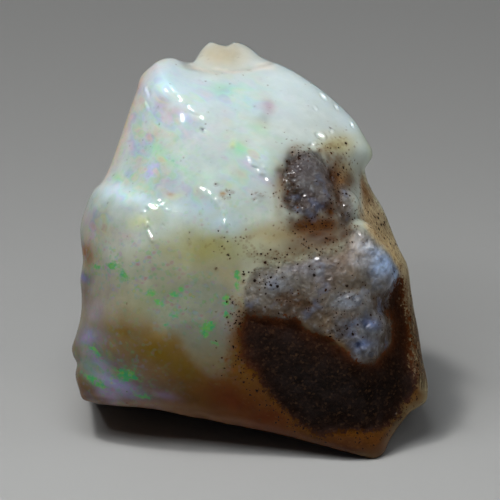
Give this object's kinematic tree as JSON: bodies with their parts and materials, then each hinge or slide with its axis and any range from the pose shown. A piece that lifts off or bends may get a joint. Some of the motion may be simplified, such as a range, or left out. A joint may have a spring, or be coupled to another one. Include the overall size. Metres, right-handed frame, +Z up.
{
  "type": "fire opal",
  "caption": "Rough precious opal: a chunky broken stone with a milky, fire-flecked face, potch knobs and a patch of brown host rock, standing on a flat base.",
  "frame": {"origin": "on the surface the stone rests on, under the middle of its bounding box", "axes": "+Z up, +X to the right of the milky face, -Y out of the face towards whoever looks at it; the face leans back 20 degrees"},
  "size_m": [0.03, 0.0226, 0.0298],
  "materials": {
    "opal": "glossy broken opal with matte brown host rock"
  },
  "bodies": {
    "root": {"opal": "opal"}
  },
  "joints": []
}
